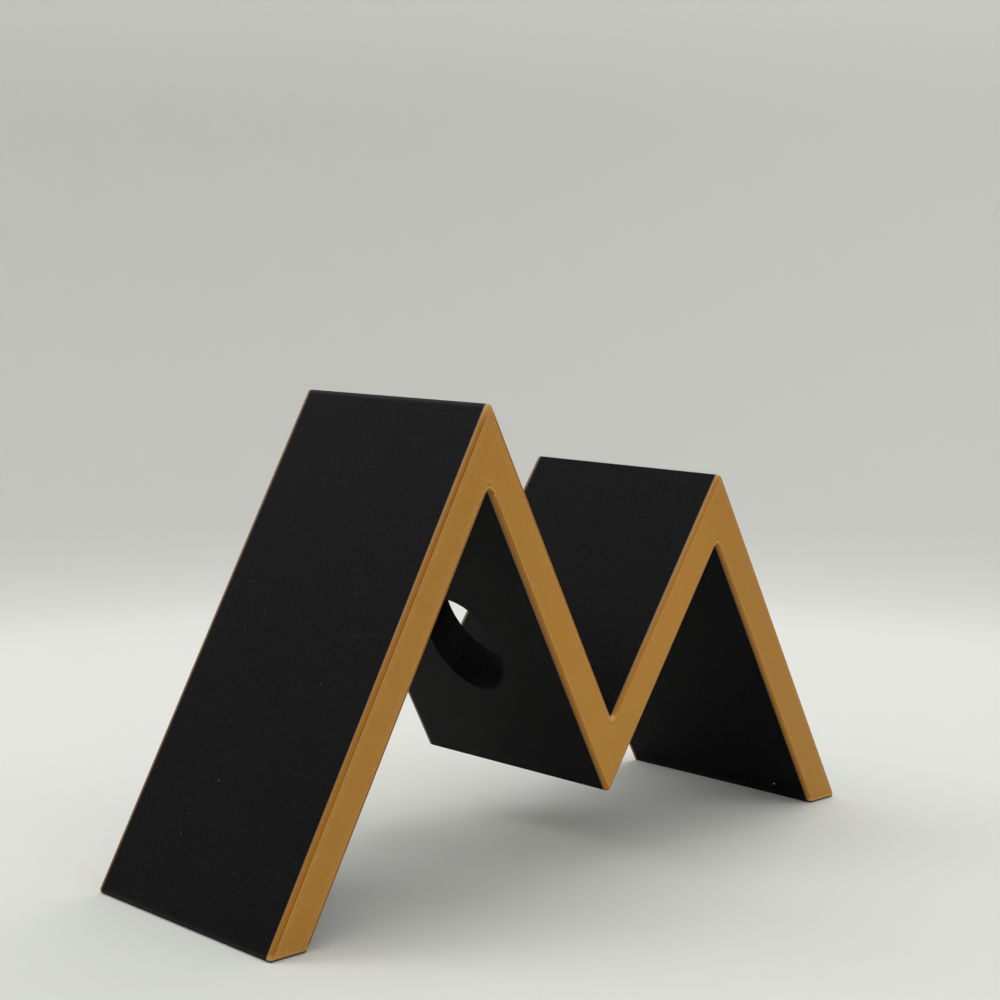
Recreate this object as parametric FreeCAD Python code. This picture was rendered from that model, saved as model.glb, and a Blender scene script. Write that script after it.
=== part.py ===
# Zigzag wine bottle holder, in millimetres.
#
# One band of even thickness is folded into the outline of a mountain range: a leg up to a tall
# peak, a slope down to a raised valley, a slope up to a short peak and a leg back down. What it
# holds lies at a slant: its neck goes down through the hole in the tall peak's slope, and its
# shoulder lies on the short peak. The core is black, and a coloured facing, printed in one piece
# with it, covers its front and its back. It stands on the cut-off ends of the two legs.
#
# X runs from the tall side to the short side, Y from front to back and Z up. The origin is on
# the floor, in the middle of the footprint.
import FreeCAD, Part
import os
from math import cos, radians, sin, tan

# Outline, to the corners of the band's upper side as they are before rounding
FOOT_SPAN = 283.0
LEG_SLOPE = 61.15
TALL_PEAK_HEIGHT = 167.0
SHORT_PEAK_HEIGHT = 135.4
VALLEY_HEIGHT = 51.5
PEAK_TO_VALLEY = 60.0
BAND_THICKNESS = 13.5

# Depth, from the front to the back
CORE_DEPTH = 90.0
FACING_DEPTH = 2.0

# Roundings: the outline's corners, and the edges of the two outer faces
OUTER_CORNER_RADIUS = 1.2
INNER_CORNER_RADIUS = 1.2
EDGE_RADIUS = 1.0

# Neck hole, to its axis in the middle of the wall
NECK_HOLE_DIAMETER = 36.0
NECK_HOLE_SLOPE = 50.0
NECK_HOLE_HEIGHT = 81.0

BACKWARDS = FreeCAD.Vector(0, 1, 0)


def point(x, z):
    """A point or a direction in the plane that halves the holder from front to back."""
    return FreeCAD.Vector(x, 0, z)


def upper_corners():
    """The upper side of the zigzag, from the tall side's foot to the short side's foot."""
    half_span = FOOT_SPAN / 2
    leg_rise = tan(radians(LEG_SLOPE))
    tall_peak_x = TALL_PEAK_HEIGHT / leg_rise - half_span
    return [
        point(-half_span, 0),
        point(tall_peak_x, TALL_PEAK_HEIGHT),
        point(tall_peak_x + PEAK_TO_VALLEY, VALLEY_HEIGHT),
        point(half_span - SHORT_PEAK_HEIGHT / leg_rise, SHORT_PEAK_HEIGHT),
        point(half_span, 0),
    ]


def crossing(start, direction, other_start, other_direction):
    """Where two lines in the outline's plane meet."""
    gap = (other_start - start).cross(other_direction)
    turn = direction.cross(other_direction)
    return start + direction * (gap.dot(BACKWARDS) / turn.dot(BACKWARDS))


def below(start, end, distance):
    """The line from start to end, moved down into the band by a distance."""
    direction = (end - start).normalize()
    downwards = BACKWARDS.cross(direction)
    return start + downwards * distance, direction


def lower_corners(upper):
    """The lower side of the zigzag, one band thickness below the upper side and cut at the floor."""
    floor = (point(0, 0), point(1, 0))
    sides = [below(start, end, BAND_THICKNESS) for start, end in zip(upper, upper[1:])]
    lines = [floor] + sides + [floor]
    return [crossing(*line, *next_line) for line, next_line in zip(lines, lines[1:])]


def corner_arc(before, corner, after):
    """The arc that rounds a corner of the outline and is tangent to both of its sides.

    The outline runs anticlockwise as seen from the front, so where it turns right, the corner
    is an inner one.
    """
    back = (before - corner).normalize()
    onwards = (after - corner).normalize()
    turns_left = back.cross(onwards).dot(BACKWARDS) > 0
    radius = OUTER_CORNER_RADIUS if turns_left else INNER_CORNER_RADIUS
    half_angle = back.getAngle(onwards) / 2
    side = radius / tan(half_angle)
    drop = radius / sin(half_angle) - radius
    middle = corner + (back + onwards).normalize() * drop
    return Part.Arc(corner + back * side, middle, corner + onwards * side)


def rounded_outline(corners):
    """A closed wire through the corners, with an arc at each and a straight edge between two."""
    befores = corners[-1:] + corners[:-1]
    afters = corners[1:] + corners[:1]
    arcs = [corner_arc(*three) for three in zip(befores, corners, afters)]
    edges = []
    for arc, next_arc in zip(arcs, arcs[1:] + arcs[:1]):
        edges.append(arc.toShape())
        edges.append(Part.makeLine(arc.EndPoint, next_arc.StartPoint))
    return Part.Wire(edges)


def layer(outline, front_y, depth):
    """The outline as a solid that starts at front_y and is so deep."""
    face = Part.Face(outline)
    face.translate(BACKWARDS * front_y)
    return face.extrude(BACKWARDS * depth)


def facing(outline, front_y, outer_y):
    """One facing, with the edges round its outer face rounded."""
    plate = layer(outline, front_y, FACING_DEPTH)
    rim = [edge for edge in plate.Edges
           if all(abs(vertex.Y - outer_y) < 1e-6 for vertex in edge.Vertexes)]
    return plate.makeFillet(EDGE_RADIUS, rim)


def neck_hole(upper):
    """The slanted cylinder that is cut out of the tall peak's inner slope."""
    tall_peak, valley = upper[1], upper[2]
    wall_middle = below(tall_peak, valley, BAND_THICKNESS / 2)
    centre = crossing(*wall_middle, point(0, NECK_HOLE_HEIGHT), point(1, 0))
    axis = point(cos(radians(NECK_HOLE_SLOPE)), sin(radians(NECK_HOLE_SLOPE)))
    radius = NECK_HOLE_DIAMETER / 2
    reach = BAND_THICKNESS + radius
    return Part.makeCylinder(radius, 2 * reach, centre - axis * reach, axis)


def main():
    upper = upper_corners()
    outline = rounded_outline(lower_corners(upper) + upper[::-1])
    half_core = CORE_DEPTH / 2
    half_depth = half_core + FACING_DEPTH
    parts = {
        "core": layer(outline, -half_core, CORE_DEPTH).cut(neck_hole(upper)),
        "front_facing": facing(outline, -half_depth, -half_depth),
        "back_facing": facing(outline, half_core, half_depth),
    }
    os.makedirs("parts", exist_ok=True)
    for name, shape in parts.items():
        shape.exportStep(f"parts/{name}.step")


main()
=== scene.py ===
"""Finishes for the zigzag wine bottle holder, and the studio it stands in. Lengths are in metres."""

from math import cos, pi, radians, sin, tan
from types import SimpleNamespace

import bmesh
import bpy
from bpy.props import FloatProperty, FloatVectorProperty, PointerProperty
from mathutils import Matrix, Vector


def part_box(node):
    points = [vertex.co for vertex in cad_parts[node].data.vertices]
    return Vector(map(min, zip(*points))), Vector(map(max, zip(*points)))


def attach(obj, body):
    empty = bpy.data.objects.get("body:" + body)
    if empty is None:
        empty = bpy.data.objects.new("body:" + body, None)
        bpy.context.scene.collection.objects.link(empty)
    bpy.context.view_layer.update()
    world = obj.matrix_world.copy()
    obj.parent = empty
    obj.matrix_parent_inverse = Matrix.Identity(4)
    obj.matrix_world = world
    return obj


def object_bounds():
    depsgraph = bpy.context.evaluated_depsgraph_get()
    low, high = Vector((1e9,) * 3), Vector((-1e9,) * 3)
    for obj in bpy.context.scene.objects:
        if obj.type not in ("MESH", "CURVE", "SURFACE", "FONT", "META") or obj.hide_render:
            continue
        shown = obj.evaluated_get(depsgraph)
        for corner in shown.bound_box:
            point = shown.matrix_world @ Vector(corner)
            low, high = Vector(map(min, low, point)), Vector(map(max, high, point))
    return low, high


bl_info = {
    "name": "Zigzag Wine Bottle Holder",
    "version": (1, 0, 0),
    "blender": (4, 5, 0),
    "location": "View3D > Sidebar > Holder",
    "description": "Finishes a printed zigzag holder and sets up a plain studio round it",
    "category": "Object",
}

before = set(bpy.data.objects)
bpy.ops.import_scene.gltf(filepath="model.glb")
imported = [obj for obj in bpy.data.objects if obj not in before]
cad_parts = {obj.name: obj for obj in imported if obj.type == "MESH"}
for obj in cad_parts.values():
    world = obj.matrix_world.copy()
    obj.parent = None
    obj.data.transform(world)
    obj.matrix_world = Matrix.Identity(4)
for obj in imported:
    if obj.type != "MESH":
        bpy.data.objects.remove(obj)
CAD_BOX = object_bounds()

MM = 0.001

HOLDER_MIDDLE = (CAD_BOX[0] + CAD_BOX[1]) / 2

# PLA's index of refraction
PLA_IOR = 1.46
# Size of the patterns in the caramel
CARAMEL_CLOUD, CARAMEL_PATCH, CARAMEL_GRAIN = 14 * MM, 2.5 * MM, 0.6 * MM
# Size of the patterns in the black. The print's grain is too fine to show, so it is drawn coarser.
BLACK_CLOUD, BLACK_GRAIN = 22 * MM, 0.9 * MM
PAPER_TOOTH = 1.5 * MM
# Bump distance of the caramel's, the black's and the paper's relief
CARAMEL_RELIEF, BLACK_RELIEF, PAPER_RELIEF = 0.012 * MM, 0.01 * MM, 0.05 * MM
# Where in X the tall side's painted shade on the face, rim and groove, and its stronger strokes start to
# fade, and where they have faded
TALL_SIDE_FADES = (-60 * MM, 0)
# Where in X the short side's painted shade, a deeper tone, sets in, and where it is full
SHORT_SIDE_BEGINS = (45 * MM, 75 * MM)
# The painted highlight along the core's rounded feet, a paler line above them: its lower side, its upper
# side and how soft they are
FOOT_LINE = (0.8 * MM, 1.6 * MM, 0.6 * MM)

# Strewn specks of dust on the core: from one to the next, and the radius of the largest
DUST_SPACING, LARGEST_DUST = 6 * MM, 0.25 * MM
# Specks of dust on the tall leg's outer side: mm up the leg, mm back from its middle, radius in mm
DUST_SPECKS = (
    (176, 12, 0.25), (133, 4, 0.22), (119, -21, 0.27), (113, -21, 0.23), (116, 35, 0.32),
    (87, -21, 0.3), (85, -12, 0.23), (68, 15, 0.26), (48, 9, 0.45), (46, 43, 0.33), (35, 17, 0.3),
    (28, 17, 0.38), (26, -36, 0.22), (26, -9, 0.25), (22, -16, 0.25),
)
# A bright speck on the short leg's lower side: X, Y, Z and radius in mm
BRIGHT_SPECK = (123.2, -30.6, 5.2, 0.45)
# Fibres there, each part of a ring: the ring's centre as above, its radius, and the fibre's middle
FIBRES = (((95, -29), 10.1, (105, -27.5)), ((86, -35), 20.2, (106, -35.5)))
# In mm: a fibre's width, how soft its sides are, how far from its middle it stays full, and how far on
# from there it fades
FIBRE_WIDTH, FIBRE_SOFT, FIBRE_REACH, FIBRE_FADE = 0.1, 0.15, 2.5, 3
BLOB_DEPTH = 0.24 * MM
# Blobs of plastic on the front face: X and Z of the middle, width, height and tilt, in mm and degrees
BLOBS = (
    (-47.6, 135.4, 1.1, 0.7, 30), (-20.5, 84.9, 0.8, 1.2, -20), (-13.7, 73.5, 0.7, 1.0, 0),
    (0.4, 55, 1.2, 0.8, -60), (-96, 70, 0.6, 0.8, 10), (103, 58, 0.7, 0.6, 0),
)
# Scorched specks on the front face: X, Z and radius in mm
SCORCHES = ((-49.8, 139.2, 0.4), (65.1, 124.5, 0.5), (-47.7, 136.4, 0.45), (-44.7, 133.2, 0.25))

# Where the lights stand, and how wide each is
BACK_LIGHT = (-0.5, 0.65, 0.9)
SHORT_SIDE_LIGHT = (0.85, 0.2, 0.8)
FRONT_LIGHT = (0.4, -0.8, 0.7)
LIGHT_WIDTH = 0.6

SENSOR_WIDTH_MM = 36

# Flat steps in the floor's sweep and in its full turn
SWEEP_STEPS, TURN_STEPS = 24, 128

# The Mix node's sockets where it mixes colours
MIX_FACTOR, MIX_A, MIX_B, MIX_RESULT = 0, 6, 7, 2


def linear(hex_colour):
    """An sRGB colour such as "#A0723A" as linear red, green, blue and alpha."""
    values = [int(hex_colour[i:i + 2], 16) / 255 for i in (1, 3, 5)]
    bent = [v / 12.92 if v <= 0.04045 else ((v + 0.055) / 1.055) ** 2.4 for v in values]
    return (*bent, 1.0)


def length(name, description, default):
    """A length that a user can change."""
    return FloatProperty(name=name, description=description, default=default, unit="LENGTH", precision=5)


def angle(name, description, degrees):
    """An angle that a user can change."""
    return FloatProperty(name=name, description=description, default=radians(degrees), subtype="ANGLE")


def colour(name, description, default):
    """A colour that a user can change, given as sRGB hex."""
    return FloatVectorProperty(
        name=name, description=description, default=linear(default), size=4, subtype="COLOR", min=0, max=1
    )


def power(name, description, default):
    """A light's power that a user can change."""
    return FloatProperty(name=name, description=description, default=default, unit="POWER")


class HolderSizes(bpy.types.PropertyGroup):
    """The band's own sizes, which the print's patterns follow."""

    foot_span: length("Foot Span", "From one leg's outer corner to the other's, before rounding", 283 * MM)
    leg_slope: angle("Leg Slope", "Slope of both legs", 61.15)
    tall_peak: length("Tall Peak", "Height of the tall peak's corner", 167 * MM)
    short_peak: length("Short Peak", "Height of the short peak's corner", 135.4 * MM)
    valley: length("Valley", "Height of the valley's upper corner", 51.5 * MM)
    peak_to_valley: length("Peak to Valley", "From the tall peak to the valley, along the floor", 60 * MM)
    thickness: length("Band Thickness", "Thickness of the band", 13.5 * MM)
    corner_blend: length("Corner Blend", "Stretch over which the faces' inner corners are rounded", 8.4 * MM)


class PrintSizes(bpy.types.PropertyGroup):
    """What the printer leaves on the surface, and where painted light and shade lie on it."""

    layer: length("Layer Height", "Height of one printed layer", 0.2 * MM)
    stroke: length("Stroke Width", "Width of one stroke of plastic on the two faces", 0.45 * MM)
    stroke_angle: angle("Stroke Angle", "Slope of the strokes on the two faces", -76)
    rim: length("Rim Width", "Width of the rounded rim, where the strokes stop", 1.32 * MM)
    # The groove's darkness is painted shade
    groove: length("Groove", "Width of the groove between the rim and the face", 0.3 * MM)
    turn: length("Turn Width", "How far from the rim the strokes' turns still show", 3 * MM)
    first_layers: length("First Layers", "Depth of the first layers, through which black shows", 0.4 * MM)
    # The rim's paler corners are painted highlights
    tall_corner: length("Tall Corner", "How far from the tall peak's corner the rim is paler", 9 * MM)
    small_corner: length(
        "Small Corner", "How far from the valley's and the short peak's corners the rim is paler", 4 * MM
    )
    # The ridge's paler black is a painted highlight on the rounded ridge
    ridge: length("Ridge", "How far from the tall peak's corner the black is rubbed smooth", 2 * MM)


class PlasticColours(bpy.types.PropertyGroup):
    """The two plastics, what has settled on them, and the light and shade painted on them."""

    caramel: colour("Caramel", "Colour of the facings", "#C4892E")
    # Deeper caramel in random patches, and painted shade that deepens the tall and the short side
    caramel_deep_and_shade: colour("Deep Caramel", "Colour of the facings where the strokes lie deeper", "#AC7628")
    # Pale caramel for the strokes' turns, and painted highlight on the outline stroke, on the rim's corners,
    # on the rim just above the floor and on the blobs
    caramel_pale_and_highlight: colour("Pale Caramel", "Colour of the strokes' turns and of the rim's corners", "#E0AC66")
    # The rim's deeper colour is partly its own and partly painted shade of its layer lines
    caramel_rim: colour("Rim Caramel", "Colour of the facings' rounded rim", "#A86A12")
    # Painted shade in the groove between the rim and the face and in the gap inside the outline stroke
    caramel_groove_shade: colour("Groove Caramel", "Colour of the groove between the rim and the face", "#86530F")
    caramel_side: colour("Side Caramel", "Colour of the facings' narrow sides", "#B27B30")
    caramel_thin: colour("Thin Caramel", "Colour of the first caramel layers on the black", "#78603F")
    # Dark caramel where the black shows through, and painted contact shadow where the facings meet the floor
    caramel_dark_and_shadow: colour("Dark Caramel", "Colour where the facings meet the black and the floor", "#241A12")
    scorched: colour("Scorched", "Colour of scorched specks on the front face", "#4E2C0A")
    black: colour("Black", "Colour of the core", "#020203")
    black_worn: colour("Worn Black", "Colour of the core where it is handled", "#141416")
    # Painted highlight on the core's rounded top ridge and along its feet
    black_ridge_highlight: colour("Ridge Black", "Colour of the core's top ridge, rubbed smooth", "#303032")
    dust: colour("Dust", "Colour of specks and fibres on the core", "#6E6E6A")
    bright_dust: colour("Bright Dust", "Colour of the bright speck on the short leg", "#EEEEEA")


class StudioSettings(bpy.types.PropertyGroup):
    """Floor, backdrop, lights and camera."""

    floor_colour: colour("Floor", "Colour of the floor", "#DDDEDA")
    backdrop_colour: colour("Backdrop", "Colour of the backdrop behind the holder", "#C0C1BD")
    backdrop_start: length("Backdrop Start", "From the middle to where the floor starts to darken", 0.43)
    backdrop_reach: length("Backdrop Reach", "From the middle to where it has the backdrop's colour", 0.72)
    backdrop_top: length("Backdrop Top", "Height from which the backdrop is pale again", 0.6)
    floor_radius: length("Floor Radius", "From the middle to where the floor starts to rise", 0.52)
    sweep_radius: length("Sweep Radius", "Radius of the sweep from the floor up to the backdrop", 0.5)
    rim_height: length("Rim Height", "Height of the backdrop", 1.3)
    world_strength: FloatProperty(name="World", description="Strength of the even light", default=1.08)
    back_power: power("Back Light", "Power of the soft light behind the tall side", 3.2)
    short_side_power: power("Short Side Light", "Power of the soft light at the short side", 2.6)
    front_power: power("Front Light", "Power of the soft light in front", 1.2)
    camera_place: FloatVectorProperty(
        name="Camera Place", description="Where the camera stands", size=3, unit="LENGTH",
        default=(-497.2 * MM, -517.15 * MM, 212.16 * MM),
    )
    camera_heading: angle("Camera Heading", "Turn from the front's own direction to the short side", 43.886)
    camera_dip: angle("Camera Dip", "How far the camera looks down", 6.84)
    camera_roll: angle("Camera Roll", "Turn of the picture", 0.313)
    camera_lens: FloatProperty(
        name="Lens", description="Focal length in mm, on a sensor 36 mm wide", default=72.2
    )


def add_node(tree, kind, inputs=None, **settings):
    """Adds one node. An input takes a value, a socket or another node's first output."""
    node = tree.nodes.new(kind)
    for name, value in settings.items():
        setattr(node, name, value)
    for key, value in (inputs or {}).items():
        if isinstance(value, bpy.types.Node):
            value = value.outputs[0]
        if isinstance(value, bpy.types.NodeSocket):
            tree.links.new(value, node.inputs[key])
        else:
            node.inputs[key].default_value = value
    return node


def new_material(name):
    """A material with no nodes yet, and its node tree."""
    material = bpy.data.materials.new(name)
    material.use_nodes = True
    material.node_tree.nodes.clear()
    return material, material.node_tree


def upper_corners(sizes):
    """The upper side of the zigzag, from the tall side's foot to the short side's foot."""
    half_span = sizes.foot_span / 2
    leg_rise = tan(sizes.leg_slope)
    tall_peak_x = sizes.tall_peak / leg_rise - half_span
    return [
        Vector((-half_span, 0, 0)),
        Vector((tall_peak_x, 0, sizes.tall_peak)),
        Vector((tall_peak_x + sizes.peak_to_valley, 0, sizes.valley)),
        Vector((half_span - sizes.short_peak / leg_rise, 0, sizes.short_peak)),
        Vector((half_span, 0, 0)),
    ]


def edge_distance(tree, place, sizes):
    """How far a point of a face lies from the face's outline.

    The band lies below the upper line of each of its four sides, and above the lower one. Its inner
    corners are rounded.
    """
    corners = upper_corners(sizes)
    below, above = [], []
    for start, end in zip(corners, corners[1:]):
        along = (end - start).normalized()
        inwards = Vector((along.z, 0, -along.x))
        reach = add_node(
            tree, "ShaderNodeVectorMath", {0: place, 1: inwards}, operation="DOT_PRODUCT"
        ).outputs["Value"]
        upper_line = inwards.dot(start)
        below.append(add_node(tree, "ShaderNodeMath", {0: reach, 1: upper_line}, operation="SUBTRACT"))
        above.append(add_node(
            tree, "ShaderNodeMath", {0: upper_line + sizes.thickness, 1: reach}, operation="SUBTRACT"
        ))
    blend = sizes.corner_blend
    below_tall, below_short = [
        add_node(tree, "ShaderNodeMath", {0: side, 1: next_side}, operation="MINIMUM")
        for side, next_side in (below[:2], below[2:])
    ]
    nearest = add_node(
        tree, "ShaderNodeMath", {0: below_tall, 1: below_short, 2: blend}, operation="SMOOTH_MAX"
    )
    above_tall, above_short = [
        add_node(tree, "ShaderNodeMath", {0: side, 1: next_side, 2: blend}, operation="SMOOTH_MAX")
        for side, next_side in (above[:2], above[2:])
    ]
    height = add_node(tree, "ShaderNodeSeparateXYZ", {0: place}).outputs["Z"]
    for distance in (above_tall, above_short, height):
        nearest = add_node(tree, "ShaderNodeMath", {0: nearest, 1: distance}, operation="MINIMUM")
    return nearest


def corner_distance(tree, place, corners):
    """How far a point lies from the nearest of some corners of the outline, seen from the front."""
    in_outline = add_node(
        tree, "ShaderNodeVectorMath", {0: place, 1: (1, 0, 1)}, operation="MULTIPLY"
    )
    nearest, *others = [
        add_node(
            tree, "ShaderNodeVectorMath", {0: in_outline, 1: corner}, operation="DISTANCE"
        ).outputs["Value"]
        for corner in corners
    ]
    for away in others:
        nearest = add_node(tree, "ShaderNodeMath", {0: nearest, 1: away}, operation="MINIMUM")
    return nearest


def ripple(tree, distance, period):
    """A wave from -1 to 1 along a distance."""
    phase = add_node(tree, "ShaderNodeMath", {0: distance, 1: 2 * pi / period}, operation="MULTIPLY")
    return add_node(tree, "ShaderNodeMath", {0: phase}, operation="SINE")


def add_up(tree, start, *parts):
    """A number plus each pattern times its share."""
    total = start
    for pattern, share in parts:
        total = add_node(
            tree, "ShaderNodeMath", {0: pattern, 1: share, 2: total}, operation="MULTIPLY_ADD"
        )
    return total


def paint(tree, tint, *coats):
    """A colour with coats over it, each of them where it covers and its colour."""
    for cover, coat in coats:
        tint = add_node(
            tree, "ShaderNodeMix", {MIX_FACTOR: cover, MIX_A: tint, MIX_B: coat}, data_type="RGBA"
        ).outputs[MIX_RESULT]
    return tint


def stripe(tree, distance, start, end, soft):
    """A stripe from one distance to another, 1 inside it and 0 outside its soft sides."""
    from_start = add_node(tree, "ShaderNodeMath", {0: distance, 1: (start + end) / 2}, operation="SUBTRACT")
    from_middle = add_node(tree, "ShaderNodeMath", {0: from_start}, operation="ABSOLUTE")
    return add_node(
        tree, "ShaderNodeMapRange",
        {"Value": from_middle, "From Min": (end - start) / 2, "From Max": (end - start) / 2 + soft,
         "To Min": 1, "To Max": 0},
    )


def spots(tree, place, points_and_radii):
    """Round spots at given points, 1 inside each and 0 outside its soft edge."""
    covered = 0
    for point, radius in points_and_radii:
        away = add_node(
            tree, "ShaderNodeVectorMath", {0: place, 1: point}, operation="DISTANCE"
        ).outputs["Value"]
        spot = stripe(tree, away, 0, 0.5 * radius, 0.5 * radius)
        covered = add_node(tree, "ShaderNodeMath", {0: covered, 1: spot}, operation="MAXIMUM")
    return covered


def facing_patterns(tree, sizes, prints):
    """What the facings' colours and relief follow."""
    place = add_node(tree, "ShaderNodeTexCoord").outputs["Object"]
    axes = add_node(tree, "ShaderNodeSeparateXYZ", {0: place})
    edge = edge_distance(tree, place, sizes)
    cloud, patches, grain = [
        add_node(tree, "ShaderNodeTexNoise", {"Vector": place, "Scale": 1 / size, "Detail": detail})
        for size, detail in ((CARAMEL_CLOUD, 3), (CARAMEL_PATCH, 2), (CARAMEL_GRAIN, 2))
    ]
    across = Vector((-sin(prints.stroke_angle), 0, cos(prints.stroke_angle)))
    reach = add_node(
        tree, "ShaderNodeVectorMath", {0: place, 1: across}, operation="DOT_PRODUCT"
    ).outputs["Value"]
    inside = add_node(
        tree, "ShaderNodeMapRange",
        {"Value": edge, "From Min": prints.rim + prints.stroke,
         "From Max": prints.rim + 1.5 * prints.stroke},
    )
    rim = add_node(
        tree, "ShaderNodeMapRange",
        {"Value": edge, "From Min": 0.92 * prints.rim, "From Max": prints.rim, "To Min": 1, "To Max": 0},
    )
    fade_start, fade_end = TALL_SIDE_FADES
    tall_side = add_node(
        tree, "ShaderNodeMapRange",
        {"Value": axes.outputs["X"], "From Min": fade_start, "From Max": fade_end,
         "To Min": 1, "To Max": 0.3},
    )
    return SimpleNamespace(
        place=place, axes=axes.outputs, edge=edge, cloud=cloud, patches=patches, grain=grain,
        reach=reach, inside=inside, rim=rim, tall_side=tall_side, front=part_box("front_facing")[0][1],
    )


def face_tint(tree, patterns, prints, colours):
    """The colour of the facings' flat part: steep strokes, palest where they turn near the rim, a pale
    stroke that follows the outline with a painted highlight on it and a darker gap inside it of painted
    shade, painted shade that deepens the tall and the short side, and scorched specks."""
    # One stroke is too fine to show, so the pale ones are drawn two strokes wide
    crests = add_node(
        tree, "ShaderNodeMapRange",
        {"Value": ripple(tree, patterns.reach, 2 * prints.stroke), "From Min": -0.2, "From Max": 1},
    )
    near_rim = add_node(
        tree, "ShaderNodeMapRange",
        {"Value": patterns.edge, "From Min": prints.rim, "From Max": prints.rim + prints.turn,
         "To Min": 1, "To Max": 0.15},
        interpolation_type="SMOOTHSTEP",
    )
    turns = crests
    for share in (patterns.inside, near_rim, patterns.tall_side, patterns.patches):
        turns = add_node(tree, "ShaderNodeMath", {0: turns, 1: share}, operation="MULTIPLY")
    tone_start, tone_end = SHORT_SIDE_BEGINS
    short_side = add_node(
        tree, "ShaderNodeMapRange",
        {"Value": patterns.axes["X"], "From Min": tone_start, "From Max": tone_end},
    )
    # A pale outline stroke with a painted highlight, and a gap of painted shade inside it
    outline_stroke, gap = [
        stripe(
            tree, patterns.edge, prints.rim + start * prints.stroke, prints.rim + end * prints.stroke,
            0.3 * prints.stroke,
        )
        for start, end in ((0.3, 0.7), (1.2, 1.8))
    ]
    scorches = spots(
        tree, patterns.place,
        [((x * MM, patterns.front, z * MM), radius * MM) for x, z, radius in SCORCHES],
    )
    # The tall side's and the short side's shares deepen the tone as painted shade
    tone = add_up(
        tree, 0.67, (patterns.tall_side, -0.64), (short_side, -0.38), (patterns.cloud, 0.15),
        (patterns.patches, 0.2), (patterns.grain, 0.2),
    )
    return paint(
        tree, colours.caramel_deep_and_shade, (tone, colours.caramel),
        (add_up(tree, 0, (gap, 0.25)), colours.caramel_groove_shade),
        (add_up(tree, 0, (turns, 1.1), (outline_stroke, 0.45)), colours.caramel_pale_and_highlight),
        (add_up(tree, 0, (scorches, 0.8)), colours.scorched),
    )


def rim_tint(tree, patterns, sizes, prints, colours):
    """The colour of the facings' rim, deeper than the face and deepest on the tall side, partly as painted
    shade: it ends in painted shade in a groove at the face, has painted highlights at its corners and just
    above the floor, turns dark where it meets the black and has a painted contact shadow where it meets the
    floor."""
    # Painted shade in the groove, deeper on the tall side
    groove_middle = 0.74 * prints.rim
    groove_line = stripe(
        tree, patterns.edge, groove_middle - prints.groove / 2, groove_middle + prints.groove / 2,
        0.6 * prints.groove,
    )
    groove_depth = add_up(tree, -0.25, (patterns.tall_side, 1.05))
    groove = add_node(tree, "ShaderNodeMath", {0: groove_line, 1: groove_depth}, operation="MULTIPLY")
    from_middle = add_node(tree, "ShaderNodeMath", {0: patterns.axes["Y"]}, operation="ABSOLUTE")
    core_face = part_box("core")[1][1]
    from_core = add_node(tree, "ShaderNodeMath", {0: from_middle, 1: core_face}, operation="SUBTRACT")
    # The black shows through twice as far on the back facing as on the front one
    show_through = add_node(
        tree, "ShaderNodeMapRange",
        {"Value": patterns.axes["Y"], "From Min": 0, "From Max": core_face, "To Min": 1, "To Max": 0.5},
    )
    depth = add_node(tree, "ShaderNodeMath", {0: from_core, 1: show_through}, operation="MULTIPLY")
    # What each coat is measured along and in, where it starts to fade and ends, and how much it covers
    side, thin, first, low, contact_shadow = [
        add_node(
            tree, "ShaderNodeMapRange",
            {"Value": distance, "From Min": start * unit, "From Max": end * unit,
             "To Min": cover, "To Max": 0},
        )
        for distance, unit, start, end, cover in (
            (depth, prints.first_layers, 1.5, 3, 1),
            (depth, prints.first_layers, 0.75, 3, 0.8),
            (depth, prints.first_layers, 0.5, 1.1, 1),
            # Painted highlight on the rim just above the floor
            (patterns.axes["Z"], prints.rim, 1.2, 2, 0.5),
            # Painted contact shadow where the rim meets the floor
            (patterns.axes["Z"], prints.rim, 0.45, 0.7, 1),
        )
    ]
    tall_peak, valley, short_peak = upper_corners(sizes)[1:-1]
    # Painted highlights on the rim at the peaks' and the valley's corners
    tall_corner, small_corner = [
        add_node(
            tree, "ShaderNodeMapRange",
            {"Value": corner_distance(tree, patterns.place, corners), "From Min": 0,
             "From Max": pale_reach, "To Min": 0.7, "To Max": 0},
            interpolation_type="SMOOTHSTEP",
        )
        for corners, pale_reach in (
            ([tall_peak], prints.tall_corner), ([valley, short_peak], prints.small_corner)
        )
    ]
    # Away from the tall side the rim is paler, nearer the face's caramel: painted light
    return paint(
        tree, colours.caramel_rim, (add_up(tree, 0.5, (patterns.tall_side, -0.5)), colours.caramel),
        (side, colours.caramel_side), (groove, colours.caramel_groove_shade),
        (tall_corner, colours.caramel_pale_and_highlight), (small_corner, colours.caramel_pale_and_highlight),
        (low, colours.caramel_pale_and_highlight), (thin, colours.caramel_thin), (first, colours.caramel_dark_and_shadow),
        (contact_shadow, colours.caramel_dark_and_shadow),
    )


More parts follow.
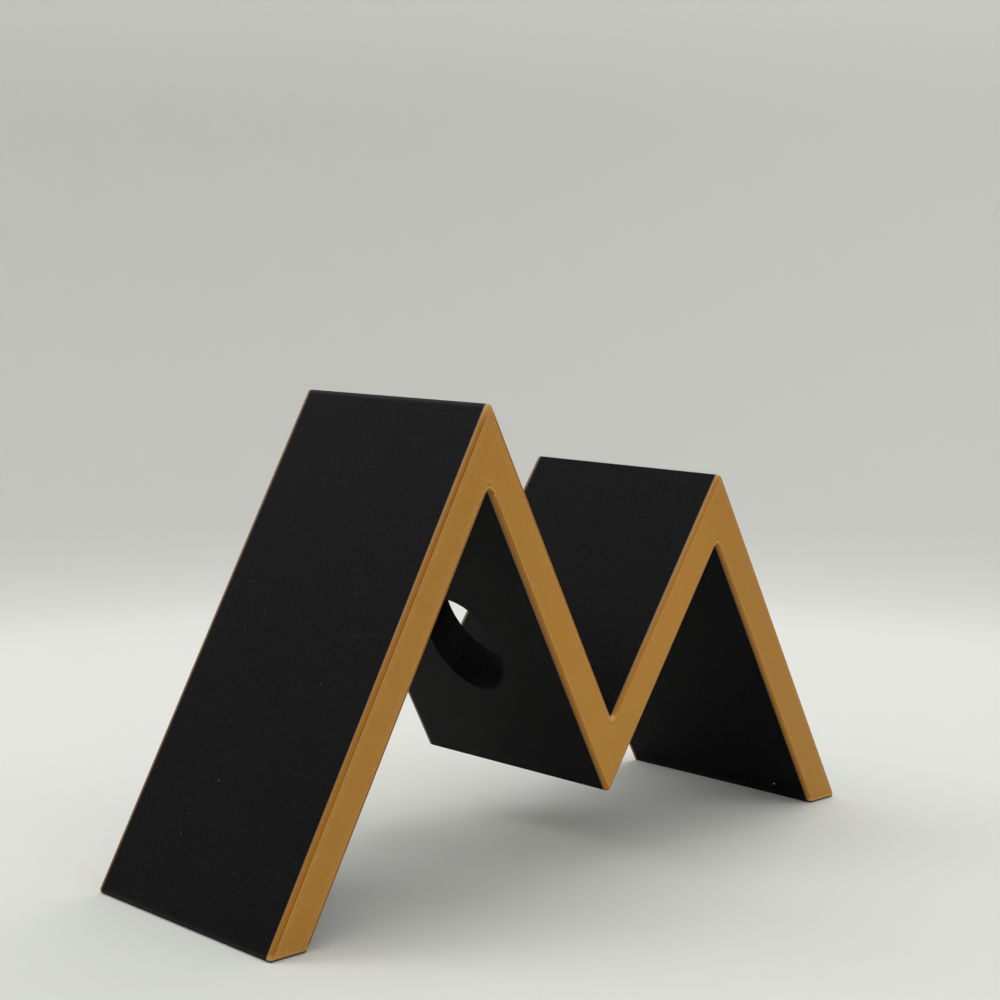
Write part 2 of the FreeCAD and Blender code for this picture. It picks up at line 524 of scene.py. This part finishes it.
def facing_material(sizes, prints, colours):
    """Caramel PLA, printed and satin: a warm brown face with fine steep strokes, palest where they turn
    near the rim, and a pale stroke that follows the outline, with a painted highlight on it. The face is
    deeper on the tall and the short side as painted shade, and the blobs carry a painted highlight. The rim
    is smooth and deeper in colour, partly as painted shade. It ends in painted shade in a dark groove at the
    face, has painted highlights at its corners and just above the floor, and turns dark where it meets the
    black, with a painted contact shadow where it meets the floor."""
    material, tree = new_material("caramel_pla_printed")
    patterns = facing_patterns(tree, sizes, prints)
    # Painted highlight on the blobs: a paler spot where each lies
    blobs = spots(
        tree, patterns.place,
        [((x * MM, patterns.front, z * MM), max(size) / 2 * MM) for x, z, *size, _ in BLOBS],
    )
    tint = paint(
        tree, face_tint(tree, patterns, prints, colours),
        (patterns.rim, rim_tint(tree, patterns, sizes, prints, colours)),
        (add_up(tree, 0, (blobs, 0.4)), colours.caramel_pale_and_highlight),
    )
    roughness = add_up(tree, 0.34, (patterns.rim, -0.1), (patterns.cloud, 0.1), (patterns.grain, 0.08))
    layers = ripple(tree, patterns.axes["Y"], prints.layer)
    strokes = ripple(tree, patterns.reach, prints.stroke)
    stroke_height = add_node(
        tree, "ShaderNodeMath", {0: strokes, 1: patterns.inside}, operation="MULTIPLY"
    )
    relief = add_up(tree, 0, (layers, 0.5), (stroke_height, 0.4), (patterns.grain, 0.6))
    bump = add_node(tree, "ShaderNodeBump", {"Height": relief, "Strength": 1, "Distance": CARAMEL_RELIEF})
    plastic = add_node(
        tree, "ShaderNodeBsdfPrincipled",
        {"Base Color": tint, "Roughness": roughness, "Normal": bump, "IOR": PLA_IOR,
         "Specular IOR Level": 0.35},
    )
    add_node(tree, "ShaderNodeOutputMaterial", {"Surface": plastic})
    return material


def specks(tree, place, spacing, largest):
    """Specks strewn at random, 1 inside each and 0 outside."""
    cells = add_node(tree, "ShaderNodeTexVoronoi", {"Vector": place, "Scale": 1 / spacing})
    share = add_node(tree, "ShaderNodeSeparateColor", {0: cells.outputs["Color"]}).outputs["Red"]
    size = add_node(tree, "ShaderNodeMath", {0: share, 1: largest / spacing}, operation="MULTIPLY")
    outside = add_node(
        tree, "ShaderNodeMath", {0: cells.outputs["Distance"], 1: size}, operation="SUBTRACT"
    )
    return add_node(
        tree, "ShaderNodeMapRange",
        {"Value": outside, "From Min": -0.3 * largest / spacing, "From Max": 0, "To Min": 1, "To Max": 0},
    )


def leg_point(sizes, along, back):
    """A point on the tall leg's outer side, from millimetres up the leg and back from its middle."""
    foot, peak = upper_corners(sizes)[:2]
    return foot + (peak - foot).normalized() * along * MM + Vector((0, back * MM, 0))


def fibres(tree, place, sizes):
    """Thin curled fibres on the tall leg's outer side, 1 on each and 0 beside it."""
    covered = 0
    for centre, radius, middle in FIBRES:
        from_centre, from_middle = [
            add_node(
                tree, "ShaderNodeVectorMath", {0: place, 1: leg_point(sizes, *point)}, operation="DISTANCE"
            ).outputs["Value"]
            for point in (centre, middle)
        ]
        ring = stripe(
            tree, from_centre, (radius - FIBRE_WIDTH / 2) * MM, (radius + FIBRE_WIDTH / 2) * MM,
            FIBRE_SOFT * MM,
        )
        stretch = stripe(tree, from_middle, 0, FIBRE_REACH * MM, FIBRE_FADE * MM)
        fibre = add_node(tree, "ShaderNodeMath", {0: ring, 1: stretch}, operation="MULTIPLY")
        covered = add_node(tree, "ShaderNodeMath", {0: covered, 1: fibre}, operation="MAXIMUM")
    return covered


def core_material(sizes, prints, colours):
    """Black PLA, printed and matt: near black with a faint grey sheen, very fine layer lines from leg to
    leg, cloudy patches where hands have been, a painted highlight on the top ridge and above the feet, and
    specks and fibres of dust."""
    material, tree = new_material("black_pla_printed")
    place = add_node(tree, "ShaderNodeTexCoord").outputs["Object"]
    axes = add_node(tree, "ShaderNodeSeparateXYZ", {0: place})
    layers = ripple(tree, axes.outputs["Y"], prints.layer)
    cloud = add_node(tree, "ShaderNodeTexNoise", {"Vector": place, "Scale": 1 / BLACK_CLOUD, "Detail": 4})
    grain = add_node(tree, "ShaderNodeTexNoise", {"Vector": place, "Scale": 1 / BLACK_GRAIN, "Detail": 3})
    strewn = specks(tree, place, DUST_SPACING, LARGEST_DUST)
    placed = spots(
        tree, place, [(leg_point(sizes, along, back), size * MM) for along, back, size in DUST_SPECKS]
    )
    dust = add_up(tree, 0, (strewn, 0.5), (placed, 0.5), (fibres(tree, place, sizes), 0.1))
    *middle, radius = BRIGHT_SPECK
    bright_speck = spots(tree, place, [(Vector(middle) * MM, radius * MM)])
    wear = add_up(tree, -1.4, (cloud, 0.7), (grain, 2.8))
    # Painted highlight on the rounded top ridge
    tall_peak = upper_corners(sizes)[1]
    ridge = add_node(
        tree, "ShaderNodeMapRange",
        {"Value": corner_distance(tree, place, [tall_peak]),
         "From Min": prints.ridge, "From Max": 1.6 * prints.ridge, "To Min": 0.8, "To Max": 0},
    )
    # Painted highlight along the rounded feet
    foot = stripe(tree, axes.outputs["Z"], *FOOT_LINE)
    tint = paint(
        tree, colours.black, (wear, colours.black_worn), (ridge, colours.black_ridge_highlight),
        (add_up(tree, 0, (foot, 0.35)), colours.black_ridge_highlight),
        (dust, colours.dust), (bright_speck, colours.bright_dust),
    )
    roughness = add_up(tree, 0.42, (cloud, 0.16), (grain, 0.1))
    height = add_up(tree, 0, (layers, 0.4), (grain, 0.8))
    bump = add_node(tree, "ShaderNodeBump", {"Height": height, "Strength": 1, "Distance": BLACK_RELIEF})
    plastic = add_node(
        tree, "ShaderNodeBsdfPrincipled",
        {"Base Color": tint, "Roughness": roughness, "Normal": bump, "IOR": PLA_IOR,
         "Specular IOR Level": 0.07},
    )
    add_node(tree, "ShaderNodeOutputMaterial", {"Surface": plastic})
    return material


def floor_material(studio):
    """Seamless paper: an even warm white with a faint tooth and no gloss, greyer where it stands up as
    the backdrop."""
    material, tree = new_material("seamless_paper")
    place = add_node(tree, "ShaderNodeTexCoord").outputs["Object"]
    height = add_node(tree, "ShaderNodeSeparateXYZ", {0: place}).outputs["Z"]
    flat = add_node(tree, "ShaderNodeVectorMath", {0: place, 1: (1, 1, 0)}, operation="MULTIPLY")
    from_middle = add_node(tree, "ShaderNodeVectorMath", {0: flat}, operation="LENGTH").outputs["Value"]
    far_off = add_node(
        tree, "ShaderNodeMapRange",
        {"Value": from_middle, "From Min": studio.backdrop_start, "From Max": studio.backdrop_reach},
        interpolation_type="SMOOTHSTEP",
    )
    below_top = add_node(
        tree, "ShaderNodeMapRange",
        {"Value": height, "From Min": 0.5 * studio.backdrop_top, "From Max": studio.backdrop_top,
         "To Min": 1, "To Max": 0},
        interpolation_type="SMOOTHSTEP",
    )
    behind = add_node(tree, "ShaderNodeMath", {0: far_off, 1: below_top}, operation="MULTIPLY")
    tint = paint(tree, studio.floor_colour, (behind, studio.backdrop_colour))
    tooth = add_node(tree, "ShaderNodeTexNoise", {"Vector": place, "Scale": 1 / PAPER_TOOTH, "Detail": 3})
    bump = add_node(tree, "ShaderNodeBump", {"Height": tooth, "Strength": 0.2, "Distance": PAPER_RELIEF})
    paper = add_node(
        tree, "ShaderNodeBsdfPrincipled",
        {"Base Color": tint, "Roughness": 0.9, "Specular IOR Level": 0.1, "Normal": bump},
    )
    add_node(tree, "ShaderNodeOutputMaterial", {"Surface": paper})
    return material


def finish_node(name, material):
    """Gives a node of the frame its material."""
    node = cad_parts[name]
    node.data.materials.clear()
    node.data.materials.append(material)


class HOLDER_OT_finish_core(bpy.types.Operator):
    """Gives the core its black printed plastic"""

    bl_idname = "holder.finish_core"
    bl_label = "Black Core"

    def execute(self, context):
        scene = context.scene
        finish_node("core", core_material(scene.holder_sizes, scene.holder_print, scene.holder_colours))
        return {"FINISHED"}


class HOLDER_OT_finish_facings(bpy.types.Operator):
    """Gives the front and the back facing their caramel printed plastic"""

    bl_idname = "holder.finish_facings"
    bl_label = "Caramel Facings"

    def execute(self, context):
        scene = context.scene
        material = facing_material(scene.holder_sizes, scene.holder_print, scene.holder_colours)
        for name in ("front_facing", "back_facing"):
            finish_node(name, material)
        return {"FINISHED"}


class HOLDER_OT_add_stray_blobs(bpy.types.Operator):
    """Adds the small blobs of plastic that the printer left on the front face"""

    bl_idname = "holder.add_stray_blobs"
    bl_label = "Stray Blobs"

    def execute(self, context):
        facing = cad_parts["front_facing"]
        if not facing.data.materials:
            raise RuntimeError("Finish the facings first")
        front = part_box("front_facing")[0][1]
        shape = bmesh.new()
        for x, z, width, height, tilt in BLOBS:
            blob = bmesh.ops.create_icosphere(shape, subdivisions=2, radius=0.5)["verts"]
            bmesh.ops.scale(shape, verts=blob, vec=(width * MM, BLOB_DEPTH, height * MM))
            bmesh.ops.rotate(shape, verts=blob, matrix=Matrix.Rotation(radians(tilt), 3, "Y"))
            bmesh.ops.translate(shape, verts=blob, vec=(x * MM, front, z * MM))
        for face in shape.faces:
            face.smooth = True
        mesh = bpy.data.meshes.new("stray_blobs")
        shape.to_mesh(mesh)
        shape.free()
        blobs = bpy.data.objects.new("stray_blobs", mesh)
        context.scene.collection.objects.link(blobs)
        blobs.data.materials.append(facing.data.materials[0])
        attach(blobs, "root")
        return {"FINISHED"}


def add_floor(studio):
    """A round floor that sweeps up into a backdrop on all sides."""
    shape = bmesh.new()
    floor_end = bmesh.ops.create_vert(shape, co=(studio.floor_radius, 0, 0))["vert"]
    swept = bmesh.ops.spin(
        shape, geom=floor_end, cent=(studio.floor_radius, 0, studio.sweep_radius), axis=(0, -1, 0),
        angle=pi / 2, steps=SWEEP_STEPS, use_duplicate=False,
    )["geom_last"]
    rim = bmesh.ops.extrude_vert_indiv(shape, verts=swept)["verts"]
    bmesh.ops.translate(shape, verts=rim, vec=(0, 0, studio.rim_height - studio.sweep_radius))
    middle = bmesh.ops.extrude_vert_indiv(shape, verts=floor_end)["verts"]
    bmesh.ops.translate(shape, verts=middle, vec=(-studio.floor_radius, 0, 0))
    bmesh.ops.spin(
        shape, geom=shape.verts[:] + shape.edges[:], cent=(0, 0, 0), axis=(0, 0, 1), angle=2 * pi,
        steps=TURN_STEPS, use_merge=True, use_duplicate=False,
    )
    bmesh.ops.remove_doubles(shape, verts=shape.verts, dist=0.01 * MM)
    bmesh.ops.recalc_face_normals(shape, faces=shape.faces)
    if sum(face.normal.z for face in shape.faces) < 0:
        bmesh.ops.reverse_faces(shape, faces=shape.faces)
    for face in shape.faces:
        face.smooth = True
    mesh = bpy.data.meshes.new("floor")
    shape.to_mesh(mesh)
    shape.free()
    floor = bpy.data.objects.new("floor", mesh)
    bpy.context.scene.collection.objects.link(floor)
    floor.data.materials.append(floor_material(studio))


def add_light(name, place, power):
    """A large square light, itself unseen, that points at the holder's middle."""
    lamp = bpy.data.lights.new(name, "AREA")
    lamp.size = LIGHT_WIDTH
    lamp.energy = power
    light = bpy.data.objects.new(name, lamp)
    direction = HOLDER_MIDDLE - Vector(place)
    light.matrix_world = Matrix.Translation(place) @ direction.to_track_quat("-Z", "Y").to_matrix().to_4x4()
    light.visible_camera = False
    bpy.context.scene.collection.objects.link(light)


def add_world(studio):
    """Even light from all round."""
    world = bpy.data.worlds.new("studio")
    world.use_nodes = True
    world.node_tree.nodes.clear()
    glow = add_node(
        world.node_tree, "ShaderNodeBackground", {"Color": (1, 1, 1, 1), "Strength": studio.world_strength}
    )
    add_node(world.node_tree, "ShaderNodeOutputWorld", {"Surface": glow})
    bpy.context.scene.world = world


def add_camera(studio):
    """The camera, off to the tall side and a little above the holder."""
    lens = bpy.data.cameras.new("camera")
    lens.lens = studio.camera_lens
    lens.sensor_width = SENSOR_WIDTH_MM
    camera = bpy.data.objects.new("camera", lens)
    camera.matrix_world = (
        Matrix.Translation(studio.camera_place)
        @ Matrix.Rotation(-studio.camera_heading, 4, "Z")
        @ Matrix.Rotation(pi / 2 - studio.camera_dip, 4, "X")
        @ Matrix.Rotation(studio.camera_roll, 4, "Z")
    )
    bpy.context.scene.collection.objects.link(camera)
    bpy.context.scene.camera = camera


class HOLDER_OT_add_stage(bpy.types.Operator):
    """Adds the floor with its backdrop, the lights and the camera"""

    bl_idname = "holder.add_stage"
    bl_label = "Studio"

    def execute(self, context):
        studio = context.scene.holder_studio
        add_floor(studio)
        add_world(studio)
        add_light("back_light", BACK_LIGHT, studio.back_power)
        add_light("short_side_light", SHORT_SIDE_LIGHT, studio.short_side_power)
        add_light("front_light", FRONT_LIGHT, studio.front_power)
        add_camera(studio)
        context.scene.view_settings.view_transform = "Standard"
        return {"FINISHED"}


PIECE_OPERATORS = (HOLDER_OT_finish_core, HOLDER_OT_finish_facings, HOLDER_OT_add_stray_blobs)


class HOLDER_PT_panel(bpy.types.Panel):
    """Lists the holder's pieces and the studio"""

    bl_idname = "HOLDER_PT_panel"
    bl_label = "Wine Bottle Holder"
    bl_space_type = "VIEW_3D"
    bl_region_type = "UI"
    bl_category = "Holder"

    def draw(self, context):
        groups = (
            (context.scene.holder_sizes, ()),
            (context.scene.holder_print, ()),
            (context.scene.holder_colours, PIECE_OPERATORS),
            (context.scene.holder_studio, (HOLDER_OT_add_stage,)),
        )
        for group, operators in groups:
            box = self.layout.box()
            for name in group.__annotations__:
                box.prop(group, name)
            for operator in operators:
                box.operator(operator.bl_idname)


CLASSES = (
    HolderSizes,
    PrintSizes,
    PlasticColours,
    StudioSettings,
    *PIECE_OPERATORS,
    HOLDER_OT_add_stage,
    HOLDER_PT_panel,
)


def register():
    for cls in CLASSES:
        bpy.utils.register_class(cls)
    bpy.types.Scene.holder_sizes = PointerProperty(type=HolderSizes)
    bpy.types.Scene.holder_print = PointerProperty(type=PrintSizes)
    bpy.types.Scene.holder_colours = PointerProperty(type=PlasticColours)
    bpy.types.Scene.holder_studio = PointerProperty(type=StudioSettings)


def unregister():
    for name in ("holder_studio", "holder_colours", "holder_print", "holder_sizes"):
        delattr(bpy.types.Scene, name)
    for cls in reversed(CLASSES):
        bpy.utils.unregister_class(cls)


def main():
    register()
    bpy.ops.holder.finish_core()
    bpy.ops.holder.finish_facings()
    bpy.ops.holder.add_stray_blobs()
    bpy.ops.holder.add_stage()


if __name__ == "__main__":
    main()
